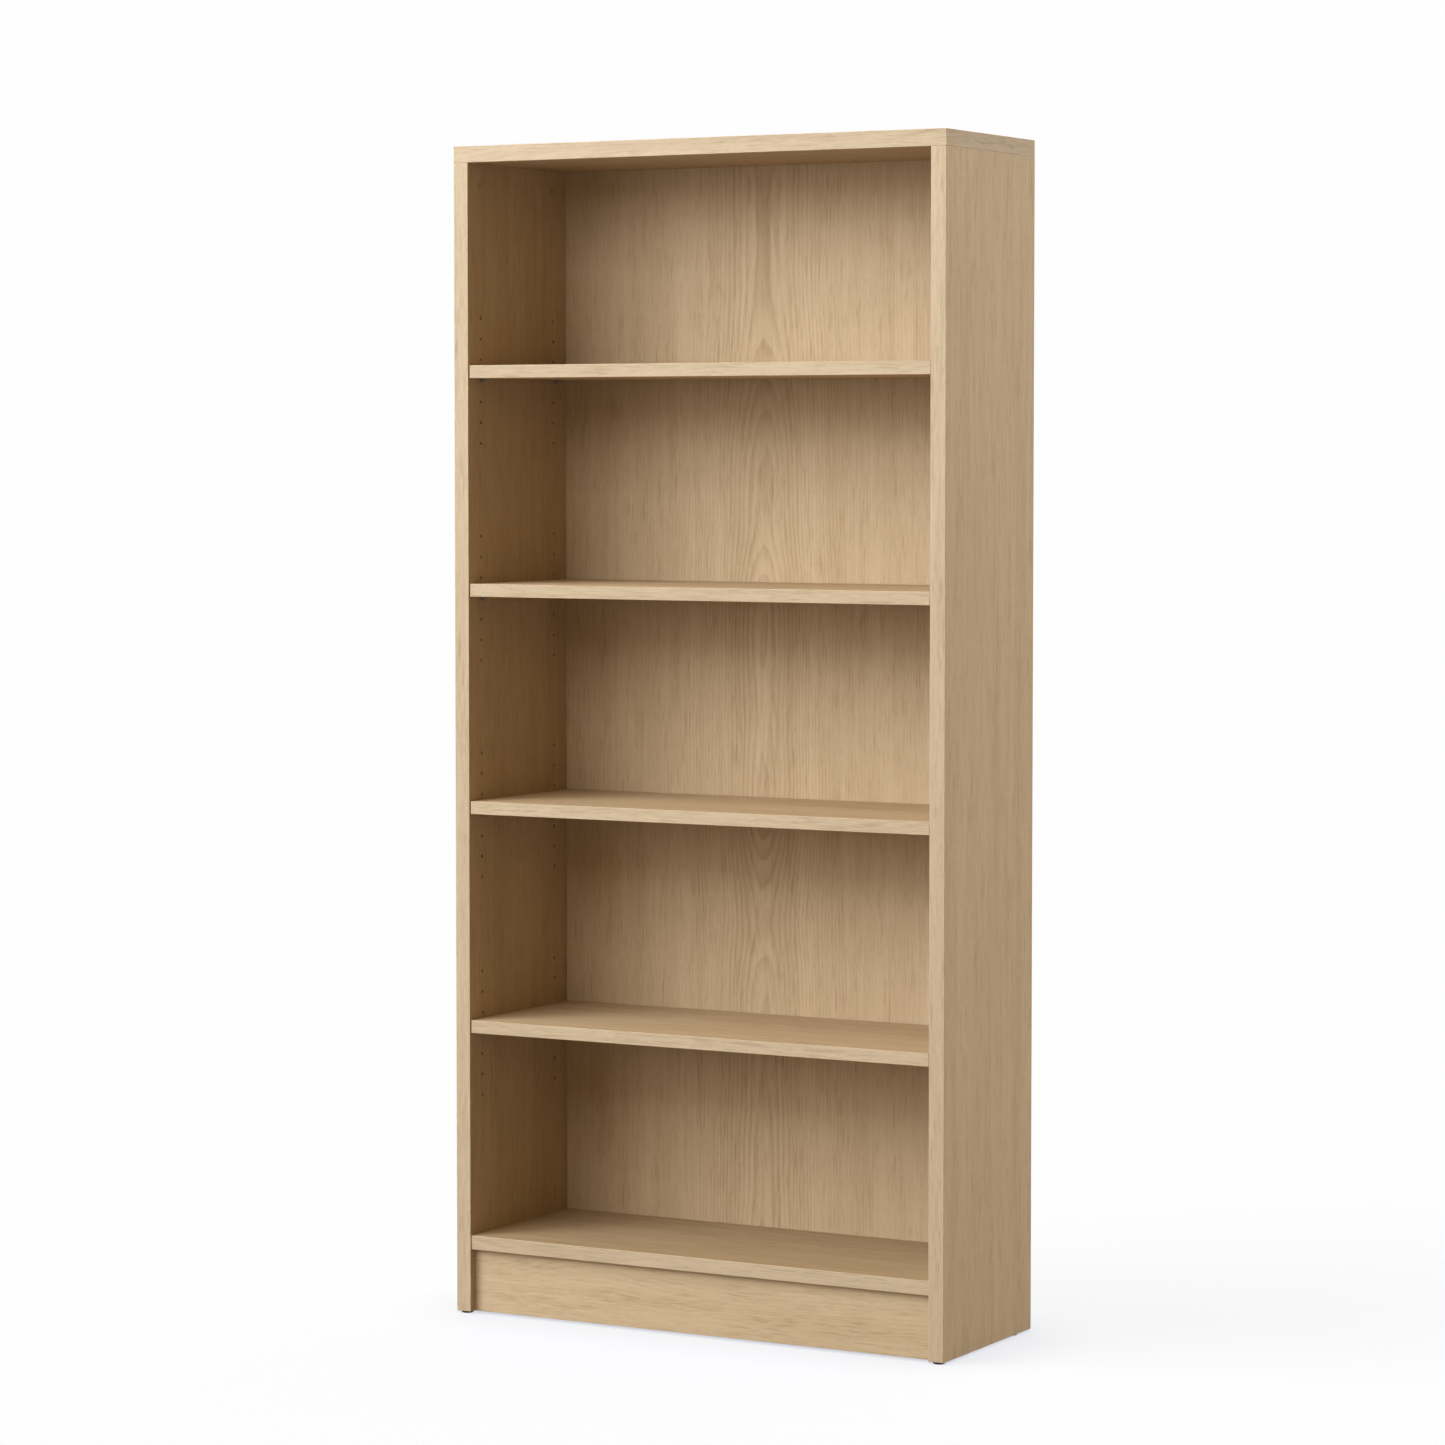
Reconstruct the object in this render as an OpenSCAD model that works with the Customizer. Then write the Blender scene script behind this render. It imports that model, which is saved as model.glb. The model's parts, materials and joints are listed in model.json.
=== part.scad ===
// Bookcase with adjustable shelves.
// Two side panels carry a top that lies over them and a fixed bottom panel, which
// also stands on a recessed plinth. A thin back panel sits in grooves. Four loose
// shelves rest on pins, and rows of spare holes let each shelf move up or down.
// X runs from left to right, Y from front to back and Z up. The origin is on the
// floor, in the middle of the footprint.

/* [Case] */
// Overall width
case_w = 840; // [700:10:1000]
// Overall depth
case_d = 300; // [260:5:400]
// Overall height, with the glides
case_h = 1800; // [1700:10:2000]
// Thickness of the side panels and the top
panel_t = 25; // [22:1:30]
// Thickness of the fixed bottom panel
bottom_t = 22; // [20:1:25]
// Thickness of the edge bands
band_t = 1; // [0.5:0.5:2]

/* [Back] */
// Thickness of the back panel
back_t = 4; // [3:0.5:6]
// Distance from the back panel's front face to the rear edge of the case
back_inset = 9; // [8:1:15]
// Depth of the grooves that hold the back panel
groove_d = 7; // [5:1:8]

/* [Plinth] */
// Height of the plinth board
plinth_h = 97; // [90:1:120]
// Thickness of the plinth board
plinth_t = 18; // [18:1:22]
// Distance from the front of the case to the front of the plinth
plinth_inset = 13; // [10:1:40]
// Height of the glides
glide_h = 3; // [3:1:6]
// Radius of the glides
glide_r = 9; // [8:0.5:10]

/* [Shelves] */
// Thickness of the loose shelves
shelf_t = 20; // [18:1:25]
// Distance from the front of the case to the front of a shelf
shelf_inset = 2; // [1:1:10]
// Gap between a loose shelf and the panels beside and behind it
shelf_gap = 1; // [1:0.5:2]
// Height of the top face of the highest shelf
shelf_1_top = 1466; // [1446:1:1486]
// Height of the top face of the second shelf
shelf_2_top = 1131; // [1111:1:1151]
// Height of the top face of the third shelf
shelf_3_top = 796; // [776:1:816]
// Height of the top face of the lowest loose shelf
shelf_4_top = 457; // [447:1:477]

/* [Shelf pins] */
// Distance between two holes of a row
hole_pitch = 32; // [20:1:32]
// Holes above and below the one a shelf starts in
spare_holes = 3; // [1:1:3]
// Distance from the front of the case, and from a shelf's rear edge, to the holes
hole_inset = 37; // [30:1:50]
// Radius of the pin holes
hole_r = 2.5; // [2.5:0.5:3]
// Depth of the pin holes
hole_depth = 12; // [11:0.5:14]
// Radial clearance between a pin and its hole
pin_clearance = 0.05; // [0.02:0.01:0.1]

/* [Hidden] */
$fn = 48;

// Faces of the case
front = -case_d / 2;
rear = case_d / 2;
side_x = case_w / 2;
inner_x = side_x - panel_t;
mid_side_x = side_x - panel_t / 2;
sides_top = case_h - panel_t;
bottom_under = glide_h + plinth_h;
bottom_top = bottom_under + bottom_t;
back_front = rear - back_inset;
bottom_mid_z = bottom_under + bottom_t / 2;
plinth_front = front + plinth_inset;
plinth_mid_y = plinth_front + plinth_t / 2;
shelf_front = front + shelf_inset;
shelf_rear = back_front - shelf_gap;
shelf_x = inner_x - shelf_gap;
shelf_tops = [shelf_1_top, shelf_2_top, shelf_3_top, shelf_4_top];

// The back panel stops short of the bottom of its grooves, and has play across them
groove_slack = 0.5;
groove_play = 0.2;
groove_w = back_t + groove_play;

// Two columns of pin holes: every fitting of a side panel lines up with them
columns = [front + hole_inset, shelf_rear - hole_inset];

// Shelf pins: a stem in the panel, a thin collar, and a flat tongue on a rib
stem_gap = 2;
stem_l = hole_depth - stem_gap;
collar_r = 3.5;
collar_t = shelf_gap;
tongue_l = 12;
tongue_w = 8;
tongue_t = 2;
tongue_top = 3.6;
rib_w = 1.6;
rib_h = 4;
rib_l = tongue_l - 2;

// Cam fittings: the distance from a joint to the cam, and the bores they sit in
cam_reach = 34;
cam_z = sides_top - cam_reach;
cam_r = 7.5;
cam_floor = 4;
cam_slack = 0.5;
slot_l = 10;
slot_w = 1.4;
slot_d = 2.5;
bolt_hole_r = 4;
bolt_slack = 0.2;
thread_hole_r = 3;
thread_l = 11;
bolt_collar_t = 1.5;
shank_r = 2.6;
head_r = 3.4;
head_l = 3;
head_room = 1;
fit_slack = 0.05;
cap_r = 8.5;
cap_t = 0.8;
cap_plug_r = 2.5;
cap_plug_l = 2;
plug_slack = 0.1;

// Dowels: the length in a panel's face and in a board's end
dowel_r = 4;
dowel_in_face = 12;
dowel_in_end = 23;
dowel_chamfer = 1;
dowel_slack = 0.5;
dowel_ys = [-60, 60];
plinth_dowel_shares = [0.28, 0.75];
plinth_dowel_zs = [for (share = plinth_dowel_shares) glide_h + share * plinth_h];
plinth_dowel_xs = [-150, 150];

// Screws that hold the back panel to the bottom panel, evenly spread, with a cross recess
screw_count = 5;
screw_pitch = 2 * inner_x / screw_count;
screw_xs = [for (i = [0:screw_count - 1]) (i - (screw_count - 1) / 2) * screw_pitch];
screw_r = 1.5;
screw_l = 16;
screw_head_r = 3.5;
screw_head_t = 1.8;
recess_l = 4;
recess_w = 0.8;
recess_d = 1;

// Glides: the front pair stand near the corners, the rear pair further in
front_glide_inset = 11;
rear_glide_inset = 43;
glide_ys = [front + front_glide_inset, rear - rear_glide_inset];
glide_chamfer = 1;
nail_r = 1;
nail_l = 15;
nail_head_r = 2.5;
nail_head_t = 0.8;
nail_recess = 1.4;
nail_recess_r = nail_head_r + 0.3;

// Cutters start this far outside the face that they enter
over = 1;

// Directions that a round piece can point in, as rotations of +Z
UP = [0, 0, 0];
DOWN = [180, 0, 0];
LEFT = [0, -90, 0];
RIGHT = [0, 90, 0];
FRONT = [90, 0, 0];

OAK_FACE = [0.76, 0.64, 0.49];
OAK_EDGE = [0.84, 0.75, 0.61];
OAK_BACK = [0.72, 0.60, 0.45];
BEECH = [0.85, 0.72, 0.55];
STEEL = [0.72, 0.73, 0.75];
ZINC = [0.62, 0.63, 0.65];
DARK_PLASTIC = [0.12, 0.11, 0.10];

// A board between two opposite corners
module board(low, high) {
    translate(low) cube(high - low);
}

// A round bar or hole from a point, along a direction
module rod(start, direction, radius, length) {
    translate(start) rotate(direction) cylinder(r = radius, h = length);
}

// A blind hole whose mouth is at a point, bored along a direction
module bore(mouth, direction, radius, depth) {
    translate(mouth) rotate(direction) translate([0, 0, -over])
        cylinder(r = radius, h = depth + over);
}

module both_sides() {
    children();
    mirror([1, 0, 0]) children();
}

// The height of the pins' axis under a shelf
function pin_z(i) = shelf_tops[i - 1] - shelf_t - tongue_top;

// ---- side panels ----

module pin_hole_rows() {
    for (i = [1:len(shelf_tops)], y = columns, k = [-spare_holes:spare_holes])
        bore([-inner_x, y, pin_z(i) + k * hole_pitch], LEFT, hole_r, hole_depth);
}

// The cam sits in the inner face, and the bolt comes down into it through the end
module side_top_joint_bores() {
    for (y = columns) {
        bore([-inner_x, y, cam_z], LEFT, cam_r, panel_t / 2 + cam_floor + cam_slack);
        bore([-mid_side_x, y, sides_top], DOWN, bolt_hole_r, cam_reach);
    }
    for (y = dowel_ys)
        bore([-mid_side_x, y, sides_top], DOWN, dowel_r, dowel_in_end + dowel_slack);
}

module side_bottom_joint_bores() {
    for (y = columns)
        bore([-inner_x, y, bottom_mid_z], LEFT, thread_hole_r, thread_l + cam_slack);
    for (y = dowel_ys)
        bore([-inner_x, y, bottom_mid_z], LEFT, dowel_r, dowel_in_face + dowel_slack);
    for (z = plinth_dowel_zs)
        bore([-inner_x, plinth_mid_y, z], LEFT, dowel_r, dowel_in_face + dowel_slack);
    for (y = glide_ys)
        bore([-mid_side_x, y, glide_h], UP, nail_r + fit_slack, nail_l);
}

module side_panel() {
    color(OAK_FACE) difference() {
        board([-side_x, front + band_t, glide_h], [-inner_x, rear, sides_top]);
        pin_hole_rows();
        side_top_joint_bores();
        side_bottom_joint_bores();
        board([-inner_x - groove_d, back_front, glide_h - over],
              [-inner_x + over, back_front + groove_w, sides_top + over]);
    }
}

module side_edge_band() {
    color(OAK_EDGE) board([-side_x, front, glide_h], [-inner_x, front + band_t, sides_top]);
}

// ---- top ----

module top_panel() {
    color(OAK_FACE) difference() {
        board([band_t - side_x, front + band_t, sides_top], [side_x - band_t, rear, case_h]);
        both_sides() {
            for (y = columns)
                bore([-mid_side_x, y, sides_top], UP, thread_hole_r, thread_l + cam_slack);
            for (y = dowel_ys)
                bore([-mid_side_x, y, sides_top], UP, dowel_r, dowel_in_face + dowel_slack);
        }
        board([-inner_x - groove_d, back_front, sides_top - over],
              [inner_x + groove_d, back_front + groove_w, sides_top + groove_d]);
    }
}

// One band along the front, and one along each end behind it
module top_edge_bands() {
    color(OAK_EDGE) {
        board([-side_x, front, sides_top], [side_x, front + band_t, case_h]);
        both_sides() board([-side_x, front + band_t, sides_top], [band_t - side_x, rear, case_h]);
    }
}

// ---- bottom panel and plinth ----

module bottom_panel() {
    color(OAK_FACE) difference() {
        board([-inner_x, shelf_front + band_t, bottom_under], [inner_x, back_front, bottom_top]);
        both_sides() {
            for (y = columns) {
                bore([-inner_x, y, bottom_mid_z], RIGHT, bolt_hole_r, cam_reach);
                bore([cam_reach - inner_x, y, bottom_under], UP, cam_r,
                     bottom_t / 2 + cam_floor + cam_slack);
            }
            for (y = dowel_ys)
                bore([-inner_x, y, bottom_mid_z], RIGHT, dowel_r, dowel_in_end + dowel_slack);
        }
        for (x = plinth_dowel_xs)
            bore([x, plinth_mid_y, bottom_under], UP, dowel_r, dowel_in_face + dowel_slack);
        for (x = screw_xs)
            bore([x, back_front, bottom_mid_z], FRONT, screw_r + fit_slack, screw_l);
    }
}

module bottom_edge_band() {
    color(OAK_EDGE)
        board([-inner_x, shelf_front, bottom_under], [inner_x, shelf_front + band_t, bottom_top]);
}

module plinth() {
    color(OAK_FACE) difference() {
        board([-inner_x, plinth_front, glide_h], [inner_x, plinth_front + plinth_t, bottom_under]);
        both_sides() for (z = plinth_dowel_zs)
            bore([-inner_x, plinth_mid_y, z], RIGHT, dowel_r, dowel_in_end + dowel_slack);
        for (x = plinth_dowel_xs)
            bore([x, plinth_mid_y, bottom_under], DOWN, dowel_r, dowel_in_end + dowel_slack);
    }
}

// ---- back panel ----

module back_panel() {
    reach = inner_x + groove_d - groove_slack;
    color(OAK_BACK) difference() {
        board([-reach, back_front, bottom_under],
              [reach, back_front + back_t, sides_top + groove_d - groove_slack]);
        for (x = screw_xs)
            bore([x, back_front + back_t, bottom_mid_z], FRONT, screw_r + fit_slack, back_t + over);
    }
}

module back_screws() {
    outer_y = back_front + back_t;
    color(STEEL) for (x = screw_xs) {
        difference() {
            union() {
                rod([x, outer_y + screw_head_t, bottom_mid_z], FRONT, screw_head_r, screw_head_t);
                rod([x, outer_y + screw_head_t / 2, bottom_mid_z], FRONT, screw_r, screw_l);
            }
            for (turn = [0, 90])
                translate([x, outer_y + screw_head_t, bottom_mid_z]) rotate([0, turn, 0])
                    cube([recess_l, 2 * recess_d, recess_w], center = true);
        }
    }
}

// ---- loose shelves and their pins ----

module shelf(i) {
    color(OAK_FACE)
        board([-shelf_x, shelf_front + band_t, shelf_tops[i - 1] - shelf_t],
              [shelf_x, shelf_rear, shelf_tops[i - 1]]);
}

module shelf_edge_band(i) {
    color(OAK_EDGE)
        board([-shelf_x, shelf_front, shelf_tops[i - 1] - shelf_t],
              [shelf_x, shelf_front + band_t, shelf_tops[i - 1]]);
}

// A pin in the left panel, with its axis along X through the origin of Y and Z
module shelf_pin() {
    rod([-inner_x, 0, 0], LEFT, hole_r - pin_clearance, stem_l);
    rod([-inner_x, 0, 0], RIGHT, collar_r, collar_t);
    translate([-inner_x, -tongue_w / 2, tongue_top - tongue_t]) cube([tongue_l, tongue_w, tongue_t]);
    translate([-inner_x, rib_w / 2, tongue_top - tongue_t]) rotate([90, 0, 0])
        linear_extrude(rib_w) polygon([[0, 0], [rib_l, 0], [collar_t, -rib_h], [0, -rib_h]]);
}

module shelf_pins(i) {
    color(STEEL) both_sides() for (y = columns)
        translate([0, y, pin_z(i)]) union() shelf_pin();
}

// ---- cam fittings ----

// A cam with its face at the origin, its body along +Z and the bolt arriving from +X
module cam_lock(bolt_depth) {
    difference() {
        cylinder(r = cam_r - fit_slack, h = bolt_depth + cam_floor);
        rod([-head_l - head_room, 0, bolt_depth], RIGHT, head_r + bolt_slack, head_l + head_room);
        rod([-over, 0, bolt_depth], RIGHT, shank_r + bolt_slack, cam_r + 2 * over);
        bore([0, 0, 0], UP, cap_plug_r + plug_slack, cap_plug_l);
        for (turn = [45, 135])
            rotate([0, 0, turn]) cube([slot_l, slot_w, 2 * slot_d], center = true);
    }
}

// A bolt that starts at the origin in a joint's plane: thread below, head above
module cam_bolt() {
    rod([0, 0, 0], DOWN, thread_hole_r - fit_slack, thread_l);
    rod([0, 0, 0], UP, bolt_hole_r - bolt_slack, bolt_collar_t);
    rod([0, 0, 0], UP, shank_r, cam_reach);
    rod([0, 0, cam_reach], UP, head_r, head_l);
}

module cam_cap() {
    rod([0, 0, 0], UP, cap_r, cap_t);
    rod([0, 0, 0], DOWN, cap_plug_r, cap_plug_l);
}

module top_cam_locks() {
    color(ZINC) both_sides() for (y = columns)
        translate([-inner_x, y, cam_z]) rotate(LEFT) cam_lock(panel_t / 2);
}

module top_cam_bolts() {
    color(STEEL) both_sides() for (y = columns)
        translate([-mid_side_x, y, sides_top]) rotate(DOWN) union() cam_bolt();
}

module top_cam_caps() {
    color(OAK_FACE) both_sides() for (y = columns)
        translate([-inner_x, y, cam_z]) rotate(RIGHT) union() cam_cap();
}

module bottom_cam_locks() {
    color(ZINC) both_sides() for (y = columns)
        translate([cam_reach - inner_x, y, bottom_under]) rotate([0, 0, 180]) cam_lock(bottom_t / 2);
}

module bottom_cam_bolts() {
    color(STEEL) both_sides() for (y = columns)
        translate([-inner_x, y, bottom_mid_z]) rotate(RIGHT) union() cam_bolt();
}

// ---- dowels ----

// A dowel that crosses a joint at the origin: the short part below, the long part above
module dowel() {
    r = dowel_r - fit_slack;
    low = -dowel_in_face;
    rotate_extrude() polygon([
        [0, low], [r - dowel_chamfer, low], [r, low + dowel_chamfer],
        [r, dowel_in_end - dowel_chamfer], [r - dowel_chamfer, dowel_in_end], [0, dowel_in_end]
    ]);
}

module top_dowels() {
    color(BEECH) both_sides() for (y = dowel_ys)
        translate([-mid_side_x, y, sides_top]) rotate(DOWN) dowel();
}

module bottom_dowels() {
    color(BEECH) both_sides() for (y = dowel_ys)
        translate([-inner_x, y, bottom_mid_z]) rotate(RIGHT) dowel();
}

module plinth_dowels() {
    color(BEECH) {
        both_sides() for (z = plinth_dowel_zs)
            translate([-inner_x, plinth_mid_y, z]) rotate(RIGHT) dowel();
        for (x = plinth_dowel_xs)
            translate([x, plinth_mid_y, bottom_under]) rotate(DOWN) dowel();
    }
}

// ---- glides ----

module glides() {
    color(DARK_PLASTIC) both_sides() for (y = glide_ys)
        translate([-mid_side_x, y, 0]) rotate_extrude() polygon([
            [nail_recess_r, 0], [glide_r - glide_chamfer, 0],
            [glide_r, glide_chamfer], [glide_r, glide_h],
            [nail_r + plug_slack, glide_h], [nail_r + plug_slack, nail_recess],
            [nail_recess_r, nail_recess]
        ]);
}

module glide_nails() {
    color(STEEL) both_sides() for (y = glide_ys)
        translate([-mid_side_x, y, nail_recess]) {
            rod([0, 0, 0], DOWN, nail_head_r, nail_head_t);
            rod([0, 0, -nail_head_t], UP, nail_r, nail_l);
        }
}

// ---- what is drawn ----

side_panel();  // side_panel_left
mirror([1, 0, 0]) side_panel();  // side_panel_right
top_panel();
bottom_panel();
plinth();
back_panel();
side_edge_band();  // side_edge_band_left
mirror([1, 0, 0]) side_edge_band();  // side_edge_band_right
top_edge_bands();
bottom_edge_band();
shelf(1);  // shelf_1
shelf(2);  // shelf_2
shelf(3);  // shelf_3
shelf(4);  // shelf_4
shelf_edge_band(1);  // shelf_1_edge_band
shelf_edge_band(2);  // shelf_2_edge_band
shelf_edge_band(3);  // shelf_3_edge_band
shelf_edge_band(4);  // shelf_4_edge_band
shelf_pins(1);  // shelf_1_pins
shelf_pins(2);  // shelf_2_pins
shelf_pins(3);  // shelf_3_pins
shelf_pins(4);  // shelf_4_pins
top_cam_locks();
top_cam_bolts();
top_cam_caps();
bottom_cam_locks();
bottom_cam_bolts();
top_dowels();
bottom_dowels();
plinth_dowels();
back_screws();
glides();
glide_nails();
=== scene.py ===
import json
import math
import bmesh
import bpy
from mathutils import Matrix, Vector


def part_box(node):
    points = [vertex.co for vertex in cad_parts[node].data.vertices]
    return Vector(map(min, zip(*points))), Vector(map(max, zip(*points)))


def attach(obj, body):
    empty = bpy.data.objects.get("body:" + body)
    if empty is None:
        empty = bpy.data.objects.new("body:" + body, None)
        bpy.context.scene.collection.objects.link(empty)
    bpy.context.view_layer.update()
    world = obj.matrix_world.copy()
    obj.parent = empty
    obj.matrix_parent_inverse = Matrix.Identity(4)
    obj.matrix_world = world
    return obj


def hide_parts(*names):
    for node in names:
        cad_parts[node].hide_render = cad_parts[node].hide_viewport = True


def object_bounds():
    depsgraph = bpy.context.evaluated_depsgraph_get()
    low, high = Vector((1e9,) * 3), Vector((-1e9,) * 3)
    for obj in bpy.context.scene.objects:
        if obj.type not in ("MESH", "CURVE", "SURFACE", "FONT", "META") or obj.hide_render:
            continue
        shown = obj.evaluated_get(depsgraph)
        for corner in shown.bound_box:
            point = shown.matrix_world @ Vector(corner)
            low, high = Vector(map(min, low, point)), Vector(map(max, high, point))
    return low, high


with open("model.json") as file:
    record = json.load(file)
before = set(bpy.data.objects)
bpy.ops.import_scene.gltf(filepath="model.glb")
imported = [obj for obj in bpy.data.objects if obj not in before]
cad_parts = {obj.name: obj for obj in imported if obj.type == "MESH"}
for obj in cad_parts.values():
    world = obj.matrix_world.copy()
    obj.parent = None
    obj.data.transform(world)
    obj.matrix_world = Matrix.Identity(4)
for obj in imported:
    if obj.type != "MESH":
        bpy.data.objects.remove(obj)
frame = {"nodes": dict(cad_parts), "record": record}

MM = 0.001
cad_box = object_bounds()
nodes = frame["nodes"]

# ---------------------------------------------------------------- colours

# Linear colours. Each stuff goes from its darkest lines or specks to its lightest ones.
OAK_DARK = (0.370, 0.252, 0.144)
OAK_LIGHT = (0.616, 0.460, 0.308)
BEECH_DARK = (0.520, 0.330, 0.180)
BEECH_LIGHT = (0.720, 0.520, 0.330)
STEEL_DARK = (0.36, 0.35, 0.34)
STEEL_LIGHT = (0.54, 0.53, 0.51)
ZINC_DARK = (0.34, 0.34, 0.35)
ZINC_LIGHT = (0.52, 0.52, 0.54)
PLASTIC_DARK = (0.010, 0.009, 0.008)
PLASTIC_LIGHT = (0.028, 0.025, 0.022)

# What the oak colours are multiplied by. The panel tint, for the sides, the top and the plinth, is paler
# than the wood: painted light, the cool cast of the light that falls on the right side. The shelves are
# lighter and the bottom darker, the back and the bands differ a little in hue, as no two veneers are
# quite alike, and the caps are plastic.
PANEL_TINT = (0.95, 0.985, 1.01)
SHELF_TINT = (1.06, 1.08, 1.08)
BOTTOM_TINT = (0.89, 0.90, 0.87)
BACK_TINT = (0.995, 1.035, 1.065)
BAND_TINT = (0.895, 0.965, 1.05)
CAP_TINT = (0.83, 0.86, 0.87)


# ---------------------------------------------------------------- node trees

class Graph:
    """Writes a node tree as nested calls: a value may be a number, a tuple or another node's output."""

    def __init__(self, tree):
        self.tree = tree
        self.tree.nodes.clear()

    def node(self, kind, inputs=None, **settings):
        made = self.tree.nodes.new(kind)
        for name, value in settings.items():
            setattr(made, name, value)
        for key, value in (inputs or {}).items():
            if isinstance(value, bpy.types.NodeSocket):
                self.tree.links.new(value, made.inputs[key])
            else:
                made.inputs[key].default_value = value
        return made

    def math(self, operation, first, second=0.0, clamp=False):
        made = self.node("ShaderNodeMath", {0: first, 1: second}, operation=operation, use_clamp=clamp)
        return made.outputs[0]

    def combine(self, x, y, z):
        return self.node("ShaderNodeCombineXYZ", {0: x, 1: y, 2: z}).outputs[0]

    def separate(self, vector):
        return self.node("ShaderNodeSeparateXYZ", {0: vector}).outputs

    def noise(self, vector, detail=2.0, roughness=0.5):
        """Noise from about 0 to 1, with cells of one unit."""
        made = self.node(
            "ShaderNodeTexNoise",
            {"Vector": vector, "Scale": 1.0, "Detail": detail, "Roughness": roughness},
        )
        return made.outputs["Fac"]

    def spread(self, value, span, to=(0.0, 1.0)):
        """Takes the range span to the range to, and clamps what is outside."""
        made = self.node(
            "ShaderNodeMapRange",
            {"Value": value, "From Min": span[0], "From Max": span[1], "To Min": to[0], "To Max": to[1]},
        )
        return made.outputs["Result"]

    def centred(self, value, width):
        """Takes 0 to 1 to a range of this width round 0."""
        return self.math("MULTIPLY", self.math("SUBTRACT", value, 0.5), width)

    def mix(self, factor, first, second):
        """Mixes two colours."""
        made = self.node("ShaderNodeMix", data_type="RGBA")
        for key, value in (("Factor_Float", factor), ("A_Color", first), ("B_Color", second)):
            socket = next(s for s in made.inputs if s.identifier == key)
            if isinstance(value, bpy.types.NodeSocket):
                self.tree.links.new(value, socket)
            else:
                socket.default_value = value
        return next(s for s in made.outputs if s.identifier == "Result_Color")


def rgba(colour):
    return (*colour, 1.0)


def tinted(colour, tint):
    return tuple(part * by for part, by in zip(colour, tint))


def new_material(name):
    material = bpy.data.materials.new(name)
    material.use_nodes = True
    return material, Graph(material.node_tree)


def finish_material(graph, base, roughness, height, relief, **fixed):
    """Adds the shader. Varying sockets are linked, and the ones in fixed are set on the shader itself, under
    their names with _ for each blank. relief is how deep the bump goes."""
    bump = graph.node("ShaderNodeBump", {"Strength": 1.0, "Distance": relief, "Height": height})
    inputs = {"Base Color": base, "Roughness": roughness, "Normal": bump.outputs[0]}
    inputs.update({key.replace("_", " "): value for key, value in fixed.items()})
    shader = graph.node("ShaderNodeBsdfPrincipled", inputs)
    graph.node("ShaderNodeOutputMaterial", {"Surface": shader.outputs[0]})


# ---------------------------------------------------------------- oak veneer

# Cells of each pattern of noise: width, length, and where across the wood the pattern starts, in metres.
# The starts differ, so that no two patterns line up.
SWAY_CELLS = (24 * MM, 80 * MM, 0.5)
WANDER_CELLS = (45 * MM, 260 * MM, 1.4)
FADE_CELLS = (30 * MM, 300 * MM, 2.3)
BAND_CELLS = (42 * MM, 900 * MM, 0.31)
STREAK_CELLS = (7 * MM, 300 * MM, 0.77)
DASH_CELLS = (2.3 * MM, 42 * MM, 1.19)
CROWD_CELLS = (16 * MM, 110 * MM, 3.1)
PORE_CELLS = (0.7 * MM, 16 * MM, 1.63)

# How far the whole grain sways to and fro
SWAY = 5 * MM

# Growth rings: the distance between two, and how far they wander
RING = 5.5 * MM
RING_WANDER = 9 * MM
# The parts of a ring's width over which it darkens, and over which it ends
RING_DARKENS = (0.35, 0.88)
RING_ENDS = (0.90, 1.0)
# How far the pith drifts towards the face and away again, over what length, and where in the noise
PITH_DRIFT = 110 * MM
DRIFT_LENGTH = 420 * MM
DRIFT_AT = (3.7, 1.3)
# Distances from the pith between which the rings fade, and what is left of them far from it
NEAR_PITH = (70 * MM, 170 * MM)
FAR_RINGS = 0.35
# The rings also fade in patches: where the noise is low, this much of them is left
FADE_RANGE = (0.36, 0.62)
FADED_RINGS = 0.45

# Tone goes from 0, dark, to 1, light. Bands and streaks vary it by this much, and dashes darken it.
MIDDLE_TONE = 0.61
BAND_TONE = 0.38
STREAK_TONE = 0.40
DASH_TONE = 0.38
# The noise between which a dash and a pore come up, and between which dashes are sparse or crowded
DASH_RANGE = (0.46, 0.70)
PORE_RANGE = (0.58, 0.72)
CROWD_RANGE = (0.40, 0.64)
SPARSE_DASHES = 0.15

# How much a pore darkens the wood, and its colour as a share of the darkest wood's
PORE_SHADE = 0.22
PORE_COLOUR = 0.45
# Roughness of the darkest wood and of the lightest
OAK_ROUGHNESS = (0.72, 0.58)
OAK_SPECULAR = 0.2
# Depth of a pore, and how much of it the difference between dark and light wood has
OAK_RELIEF = 0.06 * MM
TONE_RELIEF = 0.4

# Where the pith of most boards is, across the face and through the board, from the board's middle
USUAL_PITH = (0.03, 0.05)
# How strongly the rings show on most boards, on the back, on the plinth and on the narrow bands
USUAL_FIGURE = 0.18
BACK_FIGURE = 0.32
PLINTH_FIGURE = 0.12
BAND_FIGURE = 0.08
# How far a board that is cut one metre deeper is shifted along the grain
GRAIN_SHIFT = 7.0


def in_cells(graph, parts, cells):
    """Noise coordinates for the place in parts: across the grain, into the board and along the grain."""
    across, depth, along = parts
    width, length, start = cells
    return graph.combine(
        graph.math("DIVIDE", graph.math("ADD", across, start), width),
        graph.math("DIVIDE", depth, width),
        graph.math("DIVIDE", along, length),
    )


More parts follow.
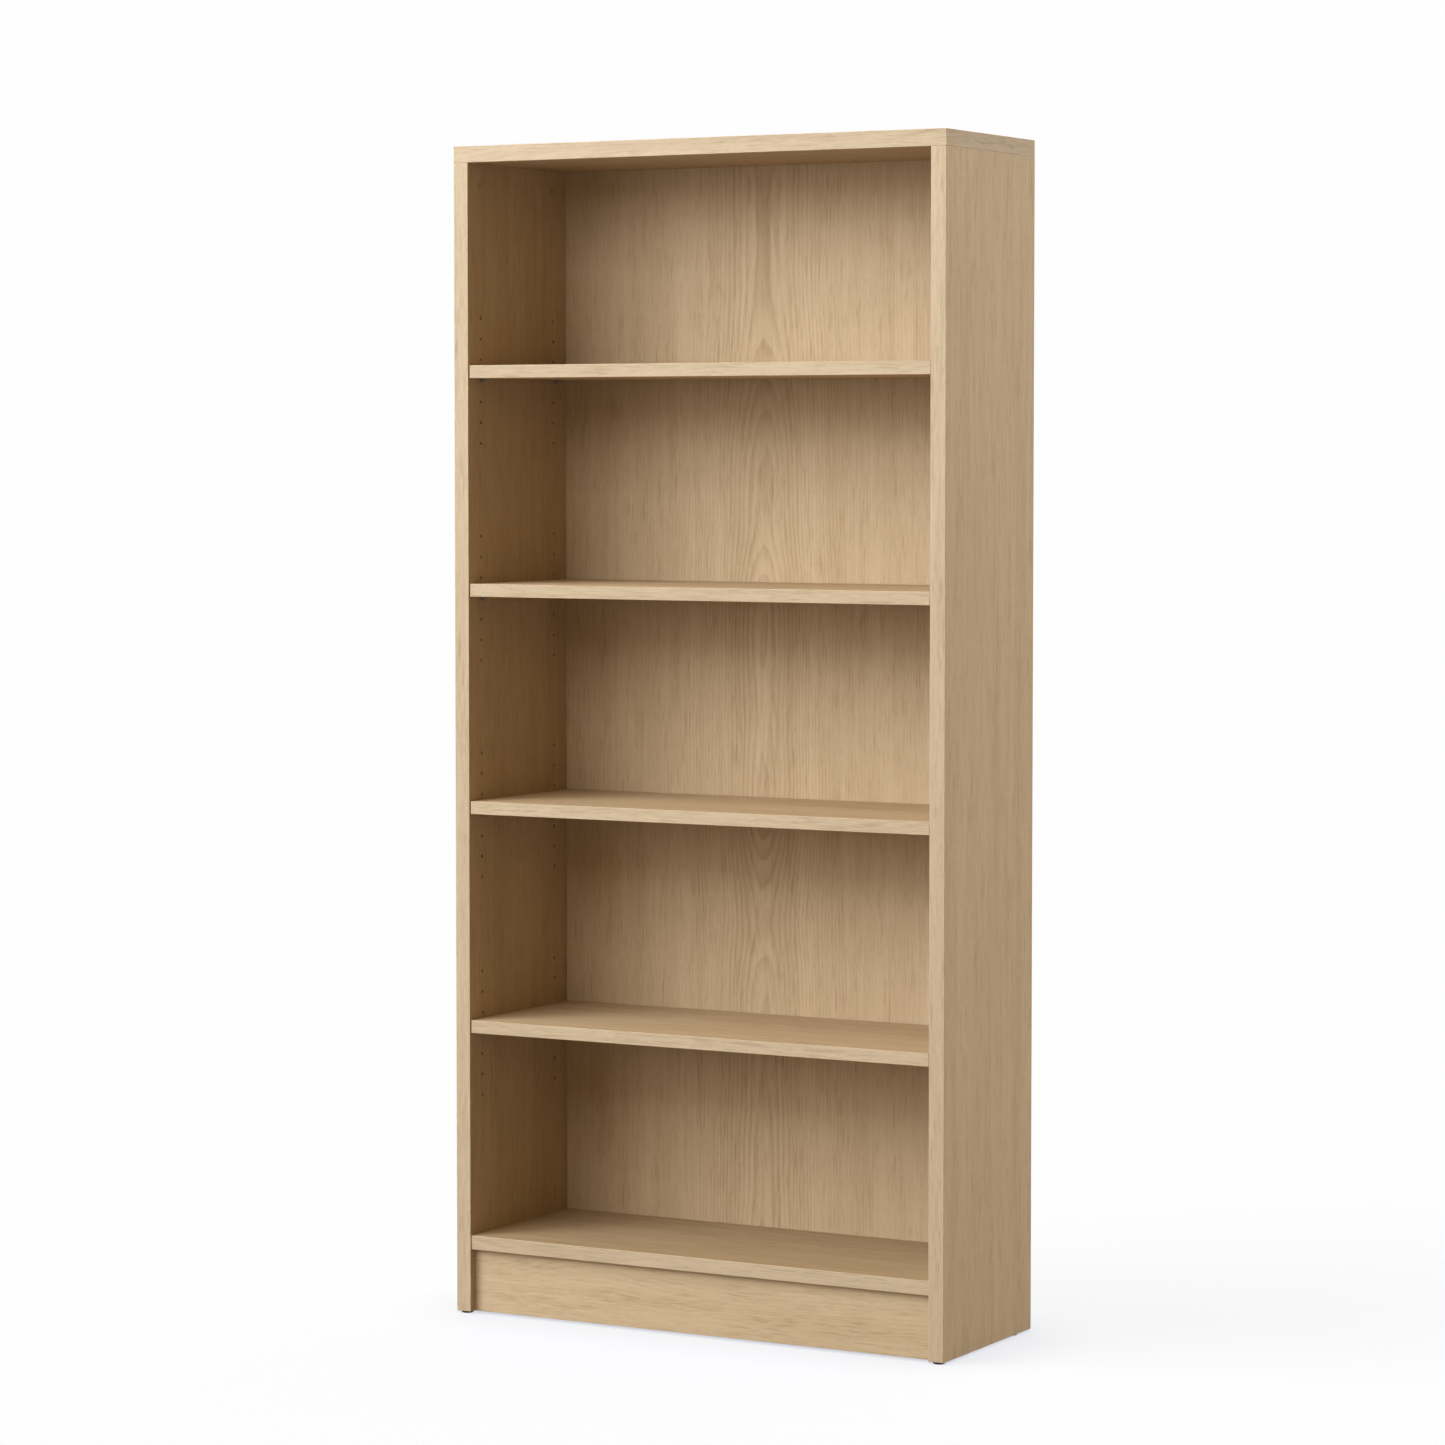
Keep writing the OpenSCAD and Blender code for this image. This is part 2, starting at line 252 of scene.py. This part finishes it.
def growth_rings(graph, parts, given):
    """Rings round a pith that drifts: straight lines far from it, arches and ovals near it."""
    across, depth, along = parts
    drift = graph.noise(graph.combine(*DRIFT_AT, graph.math("DIVIDE", along, DRIFT_LENGTH)), detail=1.0)
    pith_depth = graph.math("ADD", given["Pith depth"], graph.centred(drift, PITH_DRIFT))
    to_pith = graph.combine(
        graph.math("SUBTRACT", across, given["Pith across"]),
        graph.math("SUBTRACT", depth, pith_depth),
        0.0,
    )
    from_pith = graph.node("ShaderNodeVectorMath", {0: to_pith}, operation="LENGTH").outputs["Value"]
    wander = graph.centred(graph.noise(in_cells(graph, parts, WANDER_CELLS), detail=3.0), RING_WANDER)
    ring = graph.math("FRACT", graph.math("DIVIDE", graph.math("ADD", from_pith, wander), RING))
    line = graph.math(
        "MULTIPLY", graph.spread(ring, RING_DARKENS), graph.spread(ring, RING_ENDS, (1.0, 0.0))
    )
    clear = graph.spread(graph.noise(in_cells(graph, parts, FADE_CELLS)), FADE_RANGE, (FADED_RINGS, 1.0))
    near = graph.spread(from_pith, NEAR_PITH, (1.0, FAR_RINGS))
    shown = graph.math("MULTIPLY", given["Figure"], graph.math("MULTIPLY", clear, near))
    return graph.math("MULTIPLY", line, shown)


def ringless_tone(graph, parts):
    """The tone of the wood between its rings."""
    bands = graph.noise(in_cells(graph, parts, BAND_CELLS))
    streaks = graph.noise(in_cells(graph, parts, STREAK_CELLS), detail=3.0, roughness=0.6)
    dashes = graph.spread(graph.noise(in_cells(graph, parts, DASH_CELLS)), DASH_RANGE)
    crowd = graph.spread(
        graph.noise(in_cells(graph, parts, CROWD_CELLS)), CROWD_RANGE, (SPARSE_DASHES, 1.0)
    )
    tone = graph.math("ADD", MIDDLE_TONE, graph.centred(bands, BAND_TONE))
    tone = graph.math("ADD", tone, graph.centred(streaks, STREAK_TONE))
    darker = graph.math("MULTIPLY", dashes, graph.math("MULTIPLY", crowd, DASH_TONE))
    return graph.math("SUBTRACT", tone, darker)


def make_oak_group():
    """A solid piece of oak. Grain holds the place across the face, into the board and along the grain."""
    group = bpy.data.node_groups.new("oak_wood", "ShaderNodeTree")
    sockets = group.interface
    sockets.new_socket("Grain", in_out="INPUT", socket_type="NodeSocketVector")
    for name in ("Pith across", "Pith depth", "Figure"):
        sockets.new_socket(name, in_out="INPUT", socket_type="NodeSocketFloat")
    for name in ("Tone", "Pores"):
        sockets.new_socket(name, in_out="OUTPUT", socket_type="NodeSocketFloat")
    graph = Graph(group)
    given = graph.node("NodeGroupInput").outputs
    across, depth, along = graph.separate(given["Grain"])
    sway = graph.centred(graph.noise(in_cells(graph, (across, depth, along), SWAY_CELLS)), SWAY)
    parts = (graph.math("ADD", across, sway), depth, along)
    rings = growth_rings(graph, parts, given)
    tone = graph.math("SUBTRACT", ringless_tone(graph, parts), rings, clamp=True)
    pores = graph.spread(graph.noise(in_cells(graph, parts, PORE_CELLS), detail=1.0), PORE_RANGE)
    graph.node("NodeGroupOutput", {"Tone": tone, "Pores": pores})
    return group


OAK_GROUP = make_oak_group()


def oak(board, face, along, pith=USUAL_PITH, figure=USUAL_FIGURE, cut=0.0, tint=PANEL_TINT):
    """Lacquered oak veneer for a board. face and along name the axes across the face and along the grain,
    such as "x" and "z"; "xy" as a grain axis runs round a corner. pith is the middle of the growth rings,
    across the face and through the board, from the middle of the board. cut is how deep in the wood the
    board was cut, in metres, so that no two boards are alike."""
    material, graph = new_material(f"oak_{board}")
    x, y, z = graph.separate(graph.node("ShaderNodeTexCoord").outputs["Object"])
    axes = {"x": x, "y": y, "z": z, "xy": graph.math("ADD", x, y)}
    middle = {name: sum(ends) / 2 for name, ends in zip("xyz", zip(*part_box(board)))}
    through = [name for name in "xyz" if name != face and name not in along]
    depth = cut
    if through:
        depth = graph.math("ADD", axes[through[0]], cut - middle[through[0]])
    grain = graph.combine(axes[face], depth, graph.math("ADD", axes[along], cut * GRAIN_SHIFT))
    wood = graph.node(
        "ShaderNodeGroup",
        {"Grain": grain, "Pith across": middle[face] + pith[0], "Pith depth": pith[1] + cut,
         "Figure": figure},
        node_tree=OAK_GROUP,
    )
    tone, pores = wood.outputs["Tone"], wood.outputs["Pores"]
    colour = graph.mix(tone, rgba(tinted(OAK_DARK, tint)), rgba(tinted(OAK_LIGHT, tint)))
    in_pores = rgba([part * PORE_COLOUR for part in OAK_DARK])
    colour = graph.mix(graph.math("MULTIPLY", pores, PORE_SHADE), colour, in_pores)
    roughness = graph.spread(tone, (0.0, 1.0), OAK_ROUGHNESS)
    height = graph.math("SUBTRACT", graph.math("MULTIPLY", tone, TONE_RELIEF), pores)
    finish_material(graph, colour, roughness, height, OAK_RELIEF, Specular_IOR_Level=OAK_SPECULAR)
    return material


# ---------------------------------------------------------------- metals, plastics, beech, rubbed edges

# Where across the stuff the mottle and the cloud start, how many cells of mottle make one of cloud, and
# the part of the noise that goes from dark to light
MOTTLE_START = 0.2
CLOUD_START = 0.9
CLOUD_CELLS = 20
MOTTLE_RANGE = (0.3, 0.7)
# How much rougher the dark specks are than the middle, and how much smoother the light ones are
MOTTLE_ROUGHNESS = 0.08


def grainy(name, dark, light, cell, relief, rough, **fixed):
    """A plain stuff with a fine mottle, and a slow cloud over it."""
    material, graph = new_material(name)
    parts = graph.separate(graph.node("ShaderNodeTexCoord").outputs["Object"])
    mottle = graph.noise(in_cells(graph, parts, (cell, cell, MOTTLE_START)), detail=3.0)
    cloud = graph.noise(in_cells(graph, parts, (CLOUD_CELLS * cell, CLOUD_CELLS * cell, CLOUD_START)))
    tone = graph.math("MULTIPLY", graph.math("ADD", mottle, cloud), 0.5)
    tone = graph.spread(tone, MOTTLE_RANGE)
    colour = graph.mix(tone, rgba(dark), rgba(light))
    roughness = graph.spread(tone, (0.0, 1.0), (rough + MOTTLE_ROUGHNESS, rough - MOTTLE_ROUGHNESS))
    finish_material(graph, colour, roughness, mottle, relief, **fixed)
    return material


# Lacquer worn a little smoother by hands, on every rounded edge
RUBBED_EDGE = grainy("oak_rubbed_edge", OAK_DARK, OAK_LIGHT, cell=1.5 * MM, relief=0.02 * MM, rough=0.5)


# ---------------------------------------------------------------- boards with rounded edges

# Radius of the rounding on panels and bands, and of the countersink round a hole
PANEL_ROUND = 0.5 * MM
BAND_ROUND = 0.7 * MM
RIM_ROUND = 0.25 * MM
# Faces across a rounding, and across a countersink
ROUND_STEPS = 3
RIM_STEPS = 1
# Edges shorter than this belong to the rim of a hole
RIM_EDGE = 1.5 * MM
SAME_PLACE = 0.01 * MM
# Faces that meet at less than the flat angle are made one, faces that meet at less than the smooth angle
# are shaded as one surface, and more than the corner angle makes a corner, which is rounded
FLAT_ANGLE = math.radians(1)
SMOOTH_ANGLE = math.radians(10)
CORNER_ANGLE = math.radians(40)

body_of = {
    node: body
    for body, members in frame["record"]["behaviour"]["bodies"].items()
    for node in members
}


def inside(point, box):
    low, high = box
    return all(low[i] - SAME_PLACE < point[i] < high[i] + SAME_PLACE for i in range(3))


def is_corner(edge):
    """True where two faces of a board meet at an outer corner."""
    return edge.is_manifold and edge.is_convex and edge.calc_face_angle() > CORNER_ANGLE


def free_corners(mesh, boxes):
    """The corners of a board whose middles are in none of these boxes."""
    return [
        edge for edge in mesh.edges
        if is_corner(edge)
        and not any(inside((edge.verts[0].co + edge.verts[1].co) / 2, box) for box in boxes)
    ]


def round_edges(mesh, edges, radius, steps):
    """Rounds these edges, and gives the new faces the second material, which is the rubbed one."""
    made = bmesh.ops.bevel(mesh, geom=edges, offset=radius, segments=steps, profile=0.5,
                           affect="EDGES", clamp_overlap=False)
    for face in made["faces"]:
        face.material_index = 1


def rounded_mesh(name, radius, joined_to):
    """A copy of a CAD board's mesh with rounded edges. The edges that lie against the nodes in joined_to
    stay sharp, because the band and its board are one surface there."""
    mesh = bmesh.new()
    mesh.from_mesh(nodes[name].data)
    bmesh.ops.remove_doubles(mesh, verts=mesh.verts, dist=SAME_PLACE)
    bmesh.ops.dissolve_limit(mesh, angle_limit=FLAT_ANGLE, verts=mesh.verts, edges=mesh.edges)
    free = free_corners(mesh, [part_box(node) for node in joined_to])
    for face in mesh.faces:
        face.material_index = 0
    rims = [edge for edge in free if edge.calc_length() < RIM_EDGE]
    outer = [edge for edge in free if edge.calc_length() >= RIM_EDGE]
    round_edges(mesh, outer, radius, ROUND_STEPS)
    rims = [edge for edge in rims if edge.is_valid]
    if rims:
        round_edges(mesh, rims, RIM_ROUND, RIM_STEPS)
    data = bpy.data.meshes.new(f"{name}_veneered")
    mesh.to_mesh(data)
    mesh.free()
    data.shade_smooth()
    data.set_sharp_from_angle(angle=SMOOTH_ANGLE)
    return data


def rounded_board(name, material, radius, joined_to=()):
    """Puts a board with rounded edges in the place of a CAD board."""
    data = rounded_mesh(name, radius, joined_to)
    data.materials.append(material)
    data.materials.append(RUBBED_EDGE)
    piece = bpy.data.objects.new(f"{name}_veneered", data)
    bpy.context.scene.collection.objects.link(piece)
    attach(piece, body_of[name])
    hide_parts(name)


def panel(name, material, joined_to=()):
    rounded_board(name, material, PANEL_ROUND, joined_to)


def band(name, board, face, along, cut):
    material = oak(name, face, along, figure=BAND_FIGURE, cut=cut, tint=BAND_TINT)
    rounded_board(name, material, BAND_ROUND, [board])


# ---------------------------------------------------------------- the bookcase

# The sides are cut far from the pith, where the lines are straight, and the back is cut near it, where
# they make arches. The plinth's lines run level.
LEFT_PITH = (0.17, -0.05)
RIGHT_PITH = (0.19, -0.06)
BACK_PITH = (-0.037, 0.044)
PLINTH_PITH = (0.09, 0.04)

SHELVES = 4
# How deep in the wood the first shelf is cut, and how much deeper each next one and its band are
FIRST_SHELF_CUT = 8.7
SHELF_CUT_STEP = 1.7
SHELF_BAND_CUT = 0.8


def make_case():
    # The sides take the panel tint, which is partly painted light: a paler wood for the cool light on the
    # right side.
    left = oak("side_panel_left", "y", "z", pith=LEFT_PITH, cut=0.13)
    right = oak("side_panel_right", "y", "z", pith=RIGHT_PITH, cut=0.71)
    panel("side_panel_left", left, ["side_edge_band_left"])
    panel("side_panel_right", right, ["side_edge_band_right"])
    panel("top_panel", oak("top_panel", "y", "x", cut=1.9), ["top_edge_bands"])
    panel("bottom_panel", oak("bottom_panel", "y", "x", cut=2.6, tint=BOTTOM_TINT), ["bottom_edge_band"])
    panel("plinth", oak("plinth", "z", "x", pith=PLINTH_PITH, figure=PLINTH_FIGURE, cut=3.3))
    back = oak("back_panel", "x", "z", pith=BACK_PITH, figure=BACK_FIGURE, tint=BACK_TINT)
    rounded_board("back_panel", back, PANEL_ROUND)
    band("side_edge_band_left", "side_panel_left", "x", "z", cut=4.2)
    band("side_edge_band_right", "side_panel_right", "x", "z", cut=5.3)
    band("top_edge_bands", "top_panel", "z", "xy", cut=6.1)
    band("bottom_edge_band", "bottom_panel", "z", "x", cut=6.9)


def make_shelves():
    for number in range(SHELVES):
        shelf = f"shelf_{number + 1}"
        cut = FIRST_SHELF_CUT + SHELF_CUT_STEP * number
        panel(shelf, oak(shelf, "y", "x", cut=cut, tint=SHELF_TINT), [f"{shelf}_edge_band"])
        band(f"{shelf}_edge_band", shelf, "z", "x", cut=cut + SHELF_BAND_CUT)


def dress(name, material):
    """Gives a CAD node its material."""
    piece = nodes[name]
    piece.data.materials.clear()
    piece.data.materials.append(material)


def dress_fittings():
    steel = grainy("zinc_plated_steel", STEEL_DARK, STEEL_LIGHT,
                   cell=0.6 * MM, relief=0.01 * MM, rough=0.42, Metallic=1.0)
    zinc = grainy("zinc_die_casting", ZINC_DARK, ZINC_LIGHT,
                  cell=0.5 * MM, relief=0.03 * MM, rough=0.48, Metallic=1.0)
    beech = grainy("beech_dowel", BEECH_DARK, BEECH_LIGHT, cell=0.8 * MM, relief=0.05 * MM, rough=0.6)
    plastic = grainy("dark_plastic", PLASTIC_DARK, PLASTIC_LIGHT,
                     cell=0.4 * MM, relief=0.02 * MM, rough=0.5)
    cap = grainy("oak_tone_plastic", tinted(OAK_DARK, CAP_TINT), tinted(OAK_LIGHT, CAP_TINT),
                 cell=0.5 * MM, relief=0.01 * MM, rough=0.45)
    for name in nodes:
        if name.endswith(("_pins", "_bolts", "_screws", "_nails")):
            dress(name, steel)
        if name.endswith("_locks"):
            dress(name, zinc)
        if name.endswith("_dowels"):
            dress(name, beech)
    dress("top_cam_caps", cap)
    dress("glides", plastic)


make_case()
make_shelves()
dress_fittings()


# ---------------------------------------------------------------- floor and world

# Brightness of the background and of the far floor
BACKGROUND = 0.992
# Light from all round, which the warm room gives back
AMBIENT = (0.47, 0.34, 0.11)
FLOOR_REACH = 40.0
# How much of its light the floor gives back to the case
FLOOR_ALBEDO = 0.25
FLOOR_ROUGHNESS = 0.9
# Suns that light only the floor: a fill without shadows, one from above that darkens the floor under
# the case, and one from the front left that casts the soft shadow. Angles are in degrees.
FLOOR_FILL = 2.8
FLOOR_DOWN = 2.1
FLOOR_DOWN_SPREAD = 9
FLOOR_KEY = 0.85
FLOOR_KEY_AZIMUTH = -50
FLOOR_KEY_ELEVATION = 50
FLOOR_KEY_SPREAD = 40


def floor_glow():
    """What the light on the floor lacks to make it as bright as the background."""
    suns = (FLOOR_FILL + FLOOR_DOWN + FLOOR_KEY * math.sin(math.radians(FLOOR_KEY_ELEVATION))) / math.pi
    return [BACKGROUND - FLOOR_ALBEDO * (suns + ambient) for ambient in AMBIENT]


def make_floor():
    """A white floor. The camera sees it a bit brighter than the case does, so that it meets the
    background without a line and the case isn't lit too much from below."""
    reach = FLOOR_REACH
    mesh = bpy.data.meshes.new("studio_floor")
    mesh.from_pydata([(-reach, -reach, 0), (reach, -reach, 0), (reach, reach, 0), (-reach, reach, 0)],
                     [], [(0, 1, 2, 3)])
    floor = bpy.data.objects.new("studio_floor", mesh)
    bpy.context.scene.collection.objects.link(floor)
    material, graph = new_material("studio_floor")
    seen = graph.node("ShaderNodeLightPath").outputs["Is Camera Ray"]
    shader = graph.node(
        "ShaderNodeBsdfPrincipled",
        {"Base Color": rgba([FLOOR_ALBEDO] * 3), "Roughness": FLOOR_ROUGHNESS, "Specular IOR Level": 0.0,
         "Emission Color": rgba(floor_glow()), "Emission Strength": seen},
    )
    graph.node("ShaderNodeOutputMaterial", {"Surface": shader.outputs[0]})
    mesh.materials.append(material)
    return floor


def make_world():
    """The camera sees a nearly white background, and everything else is lit by the ambient light."""
    world = bpy.data.worlds.new("studio")
    bpy.context.scene.world = world
    world.use_nodes = True
    graph = Graph(world.node_tree)
    seen = graph.node("ShaderNodeBackground", {"Color": (1, 1, 1, 1), "Strength": BACKGROUND})
    lit = graph.node("ShaderNodeBackground", {"Color": rgba(AMBIENT), "Strength": 1.0})
    path = graph.node("ShaderNodeLightPath").outputs["Is Camera Ray"]
    mixed = graph.node("ShaderNodeMixShader", {0: path, 1: lit.outputs[0], 2: seen.outputs[0]})
    graph.node("ShaderNodeOutputWorld", {"Surface": mixed.outputs[0]})


# ---------------------------------------------------------------- lights

CASE_MIDDLE = (Vector(cad_box[0]) + Vector(cad_box[1])) / 2
KEY_COLOUR = (0.895, 1.0, 1.13)
RIM_COLOUR = (0.82, 0.94, 1.12)
# Distance from the middle of the case and size of a far, a near and a wide soft box, in metres
FAR = (9.0, 3.4)
NEAR = (4.5, 1.7)
WIDE = (9.0, 5.0)
# Name, azimuth, elevation, distance and size, power and colour of each soft box
SOFT_BOXES = (
    ("key_high_left", -45, 45, FAR, 192, KEY_COLOUR),
    ("key_left", -45, 27, FAR, 198, KEY_COLOUR),
    ("key_low_left", -45, 10, FAR, 196, KEY_COLOUR),
    ("key_low_middle", -25, 12, FAR, 238, KEY_COLOUR),
    ("key_high_middle", -25, 42, NEAR, 41, KEY_COLOUR),
    ("key_front", -5, 27, NEAR, 64, KEY_COLOUR),
    ("overhead", 0, 70, NEAR, 23, KEY_COLOUR),
    ("rim_right", 130, 30, WIDE, 742, RIM_COLOUR),
)


def link_to_floor(light, floor, state):
    """Lets a light reach only the floor, or everything but the floor: state is INCLUDE or EXCLUDE."""
    group = bpy.data.collections.new(f"{light.name}_{state.lower()}_floor")
    group.objects.link(floor)
    group.collection_objects[0].light_linking.link_state = state
    light.light_linking.receiver_collection = group


def make_soft_box(name, floor, azimuth, elevation, distance_and_size, power, colour):
    """A square soft box that looks at the middle of the case. Azimuth 0 is in front, 90 to the right."""
    distance, size = distance_and_size
    a, e = math.radians(azimuth), math.radians(elevation)
    back = Vector((math.sin(a) * math.cos(e), -math.cos(a) * math.cos(e), math.sin(e)))
    data = bpy.data.lights.new(name, "AREA")
    data.shape = "SQUARE"
    data.size = size
    data.energy = power
    data.color = colour
    light = bpy.data.objects.new(name, data)
    light.location = CASE_MIDDLE + back * distance
    light.rotation_mode = "QUATERNION"
    light.rotation_quaternion = (-back).to_track_quat("-Z", "Y")
    light.visible_camera = False
    bpy.context.scene.collection.objects.link(light)
    link_to_floor(light, floor, "EXCLUDE")


def make_floor_sun(name, floor, strength, azimuth=0, elevation=90, spread=0, shadow=True):
    """A distant light that only the floor takes. Without azimuth and elevation it shines straight down."""
    data = bpy.data.lights.new(name, "SUN")
    data.energy = strength
    data.angle = math.radians(spread)
    data.use_shadow = shadow
    sun = bpy.data.objects.new(name, data)
    sun.rotation_euler = (math.radians(90 - elevation), 0, math.radians(azimuth))
    bpy.context.scene.collection.objects.link(sun)
    link_to_floor(sun, floor, "INCLUDE")


def light_the_case(floor):
    for name, *how in SOFT_BOXES:
        make_soft_box(name, floor, *how)


def light_the_floor(floor):
    make_floor_sun("floor_fill", floor, FLOOR_FILL, shadow=False)
    make_floor_sun("floor_down", floor, FLOOR_DOWN, spread=FLOOR_DOWN_SPREAD)
    make_floor_sun("floor_key", floor, FLOOR_KEY, FLOOR_KEY_AZIMUTH, FLOOR_KEY_ELEVATION, FLOOR_KEY_SPREAD)


# ---------------------------------------------------------------- camera and picture

# The photo's camera, from a fit to the corners of the case: place in metres, angles in degrees, and lens
# and sensor in millimetres
CAMERA_AT = (3.3109, -6.0266, 1.3415)
CAMERA_YAW = 29.019
CAMERA_PITCH = -2.990
CAMERA_LENS = 112.53
CAMERA_SENSOR = 36.0
# The shift that puts the case at the photo's height in the frame
CAMERA_SHIFT = -0.0277
CAMERA_REACH = 200.0
# The picture's contrast over a linear one
CONTRAST = 1.2


def make_camera():
    data = bpy.data.cameras.new("camera")
    data.lens = CAMERA_LENS
    data.sensor_width = CAMERA_SENSOR
    data.shift_y = CAMERA_SHIFT
    data.clip_end = CAMERA_REACH
    camera = bpy.data.objects.new("camera", data)
    camera.location = CAMERA_AT
    camera.rotation_euler = (math.radians(90 + CAMERA_PITCH), 0, math.radians(CAMERA_YAW))
    bpy.context.scene.collection.objects.link(camera)
    bpy.context.scene.camera = camera


floor = make_floor()
make_world()
light_the_case(floor)
light_the_floor(floor)
make_camera()
bpy.context.scene.view_settings.view_transform = "Standard"
bpy.context.scene.view_settings.gamma = 1 / CONTRAST
